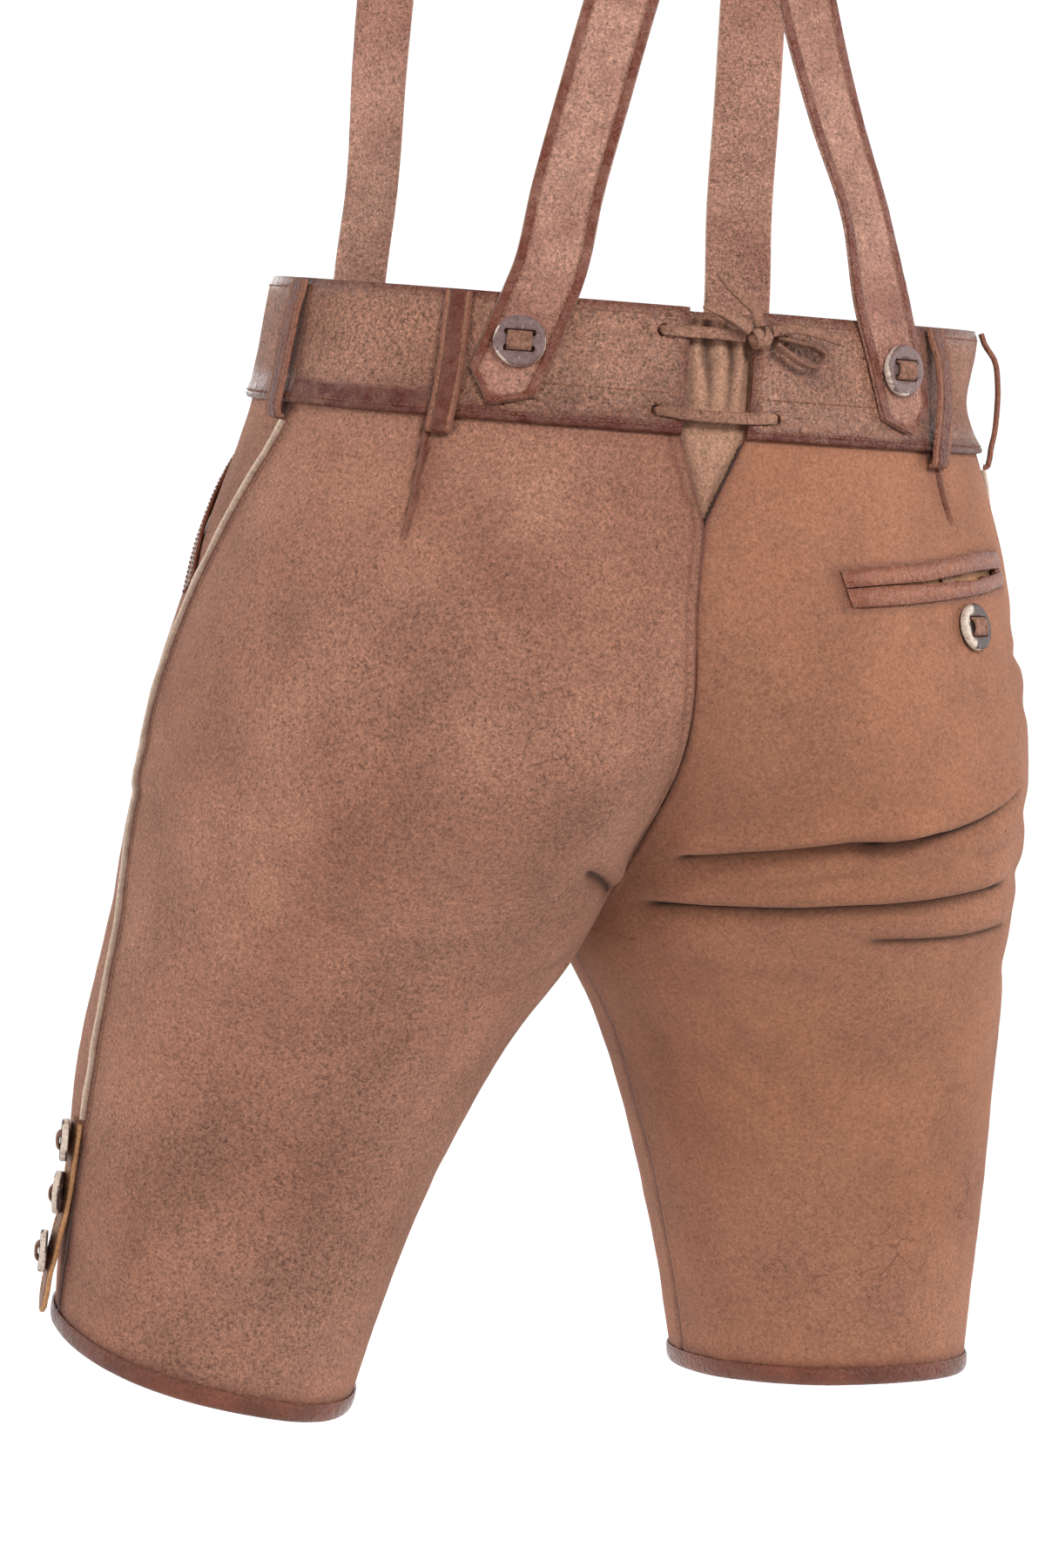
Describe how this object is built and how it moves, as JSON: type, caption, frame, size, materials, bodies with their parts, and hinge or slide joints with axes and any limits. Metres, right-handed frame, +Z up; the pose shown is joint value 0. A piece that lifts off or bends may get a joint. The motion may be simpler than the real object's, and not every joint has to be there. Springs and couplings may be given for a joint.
{
  "type": "lederhosen",
  "caption": "Knee-length brown suede lederhosen in worn shape: wide laced waistband, drop front, back pocket, bound hems with buttoned knee slits, and braces crossed at the back.",
  "frame": {"origin": "centre of the waistband's top edge, where the wearer's waist holds the garment", "axes": "+Z up, front faces -Y, +X towards the wearer's left"},
  "size_m": [0.5027, 0.2988, 1.0099],
  "materials": {
    "suede": "mid-brown goat suede, brushed nap with dark specks and rubbed patches",
    "waistband_suede": "brown suede with burnished dark borders",
    "gusset_suede": "soft lighter suede, gathered",
    "brace_leather": "brown strap leather, pale waxy bloom and dark burnished margins",
    "loop_leather": "dark glossy smooth leather with suede edges",
    "lace_leather": "soft undyed-edge suede thong",
    "welt_leather": "red-brown burnished leather",
    "facing_leather": "orange-tan smooth leather",
    "placket_leather": "brown leather with an orange-tan cut edge",
    "raw_edge": "pale cut edge of leather",
    "hem_leather": "dark glossy binding leather",
    "horn": "polished dark staghorn over a cream layer"
  },
  "bodies": {
    "root": {"back_gusset": "gusset_suede", "back_panel_L": "suede", "back_panel_R": "suede", "belt_loop_back_L": "loop_leather", "belt_loop_back_R": "loop_leather", "belt_loop_front_L": "loop_leather", "belt_loop_front_R": "loop_leather", "belt_loop_side_L": "loop_leather", "belt_loop_side_R": "loop_leather", "brace_L": "brace_leather", "brace_R": "brace_leather", "button_brace_back_L": "horn", "button_brace_back_R": "horn", "button_brace_front_L": "horn", "button_brace_front_R": "horn", "button_flap_L": "horn", "button_flap_R": "horn", "button_knee_1_L": "horn", "button_knee_1_R": "horn", "button_knee_2_L": "horn", "button_knee_2_R": "horn", "button_knee_3_L": "horn", "button_knee_3_R": "horn", "button_pocket": "horn", "front_flap": "suede", "front_panel_L": "suede", "front_panel_R": "suede", "front_pocket_welt_L": "welt_leather", "front_pocket_welt_R": "welt_leather", "hem_binding_L": "hem_leather", "hem_binding_R": "hem_leather", "knee_placket_L": "placket_leather", "knee_placket_R": "placket_leather", "lace": "lace_leather", "lace_knot": "lace_leather", "lace_loop_left": "lace_leather", "lace_loop_right": "lace_leather", "lace_tail_left": "lace_leather", "lace_tail_right": "lace_leather", "pocket_facing": "facing_leather", "pocket_tab": "lace_leather", "pocket_welt_lower": "welt_leather", "pocket_welt_upper": "welt_leather", "side_seam_L": "raw_edge", "side_seam_R": "raw_edge", "thong_brace_back_L": "lace_leather", "thong_brace_back_R": "lace_leather", "thong_brace_front_L": "lace_leather", "thong_brace_front_R": "lace_leather", "thong_flap_L": "lace_leather", "thong_flap_R": "lace_leather", "thong_pocket": "lace_leather", "waistband_back_L": "waistband_suede", "waistband_back_R": "waistband_suede", "waistband_front_L": "waistband_suede", "waistband_front_R": "waistband_suede"}
  },
  "joints": []
}
